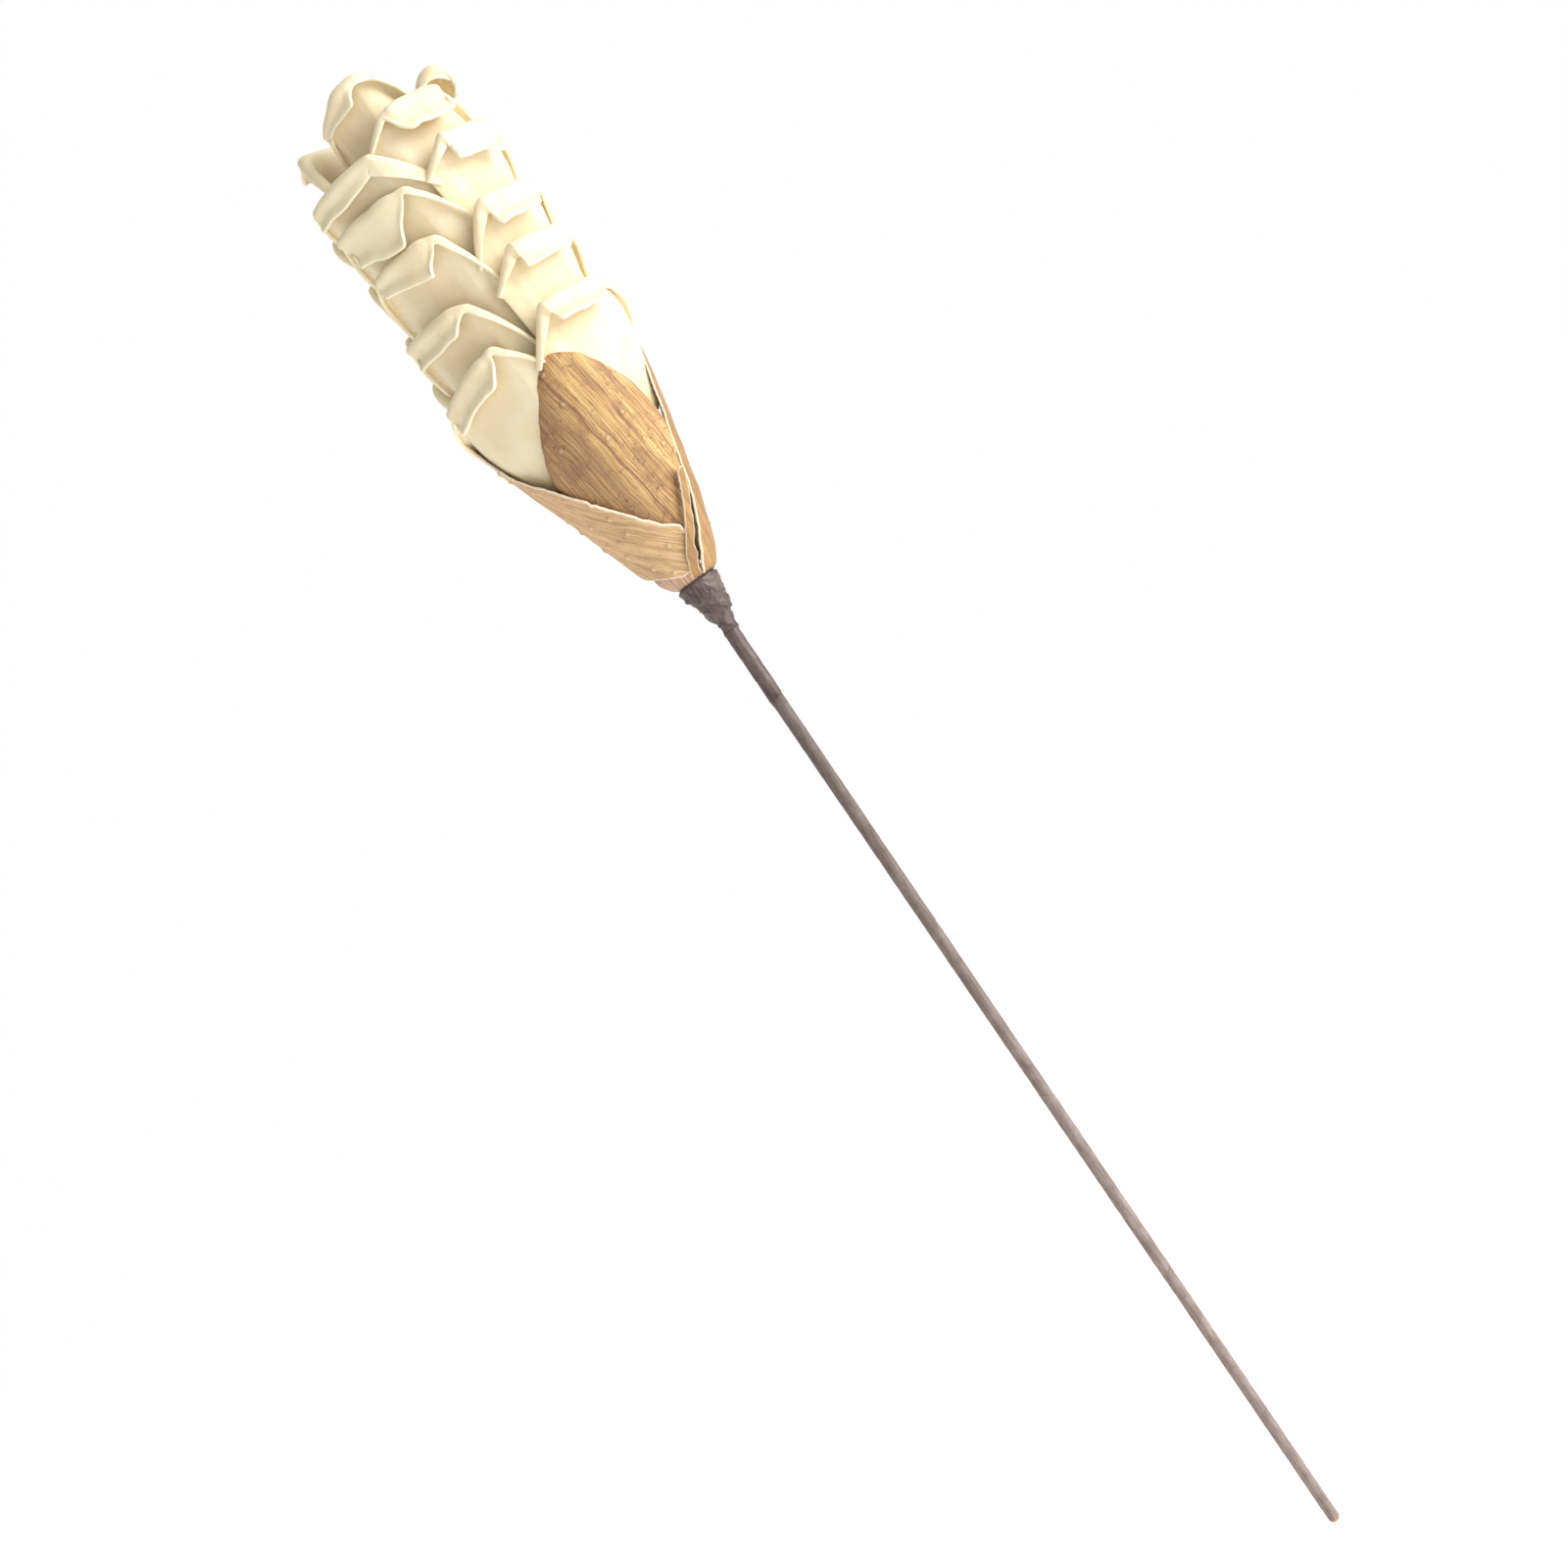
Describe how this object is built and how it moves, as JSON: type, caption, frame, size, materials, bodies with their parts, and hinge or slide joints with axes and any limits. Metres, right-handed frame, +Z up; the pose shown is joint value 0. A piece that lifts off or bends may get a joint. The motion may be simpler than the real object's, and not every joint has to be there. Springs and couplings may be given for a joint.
{
  "type": "decorative torch flower stem",
  "caption": "Tall spike of folded cream petals in a cup of dried palm bracts, bound to a slim paper-taped stick, for a vase or floral foam.",
  "frame": {"origin": "centre of the stick's lower end", "axes": "+Z up along the stick towards the flower, -Y towards the front of the flower, the flower leans slightly towards -X"},
  "size_m": [0.0846, 0.0831, 0.6919],
  "materials": {
    "petal_sheet": "smooth matte soft sheet",
    "bract_golden": "dry grained leaf",
    "bract_tan": "dry grained leaf",
    "neck_tape": "crumpled waxed paper tape",
    "stem_tape": "matte paper tape",
    "stick_wood": "bare wood",
    "wire": "green lacquered wire",
    "core_foam": "open pith foam"
  },
  "bodies": {
    "root": {"stem_stick": "stick_wood", "stem_tape_lower": "stem_tape", "stem_tape_middle": "stem_tape", "stem_tape_upper": "stem_tape", "neck_sleeve": "neck_tape", "neck_bulb": "neck_tape", "binding_wire": "wire", "head_core": "core_foam", "tip_bud": "petal_sheet", "bract_front": "bract_golden", "bract_back": "bract_golden", "bract_left": "bract_tan", "bract_right": "bract_tan", "bract_splinter": "bract_tan", "bract_under": "bract_tan", "petal_front_01": "petal_sheet", "petal_back_01": "petal_sheet", "petal_front_02": "petal_sheet", "petal_back_02": "petal_sheet", "petal_front_03": "petal_sheet", "petal_back_03": "petal_sheet", "petal_front_04": "petal_sheet", "petal_back_04": "petal_sheet", "petal_front_05": "petal_sheet", "petal_back_05": "petal_sheet", "petal_front_06": "petal_sheet", "petal_back_06": "petal_sheet", "petal_front_07": "petal_sheet", "petal_back_07": "petal_sheet", "petal_front_08": "petal_sheet", "petal_back_08": "petal_sheet", "petal_front_09": "petal_sheet", "petal_back_09": "petal_sheet", "petal_front_10": "petal_sheet", "petal_back_10": "petal_sheet", "petal_front_11": "petal_sheet", "petal_back_11": "petal_sheet"}
  },
  "joints": []
}
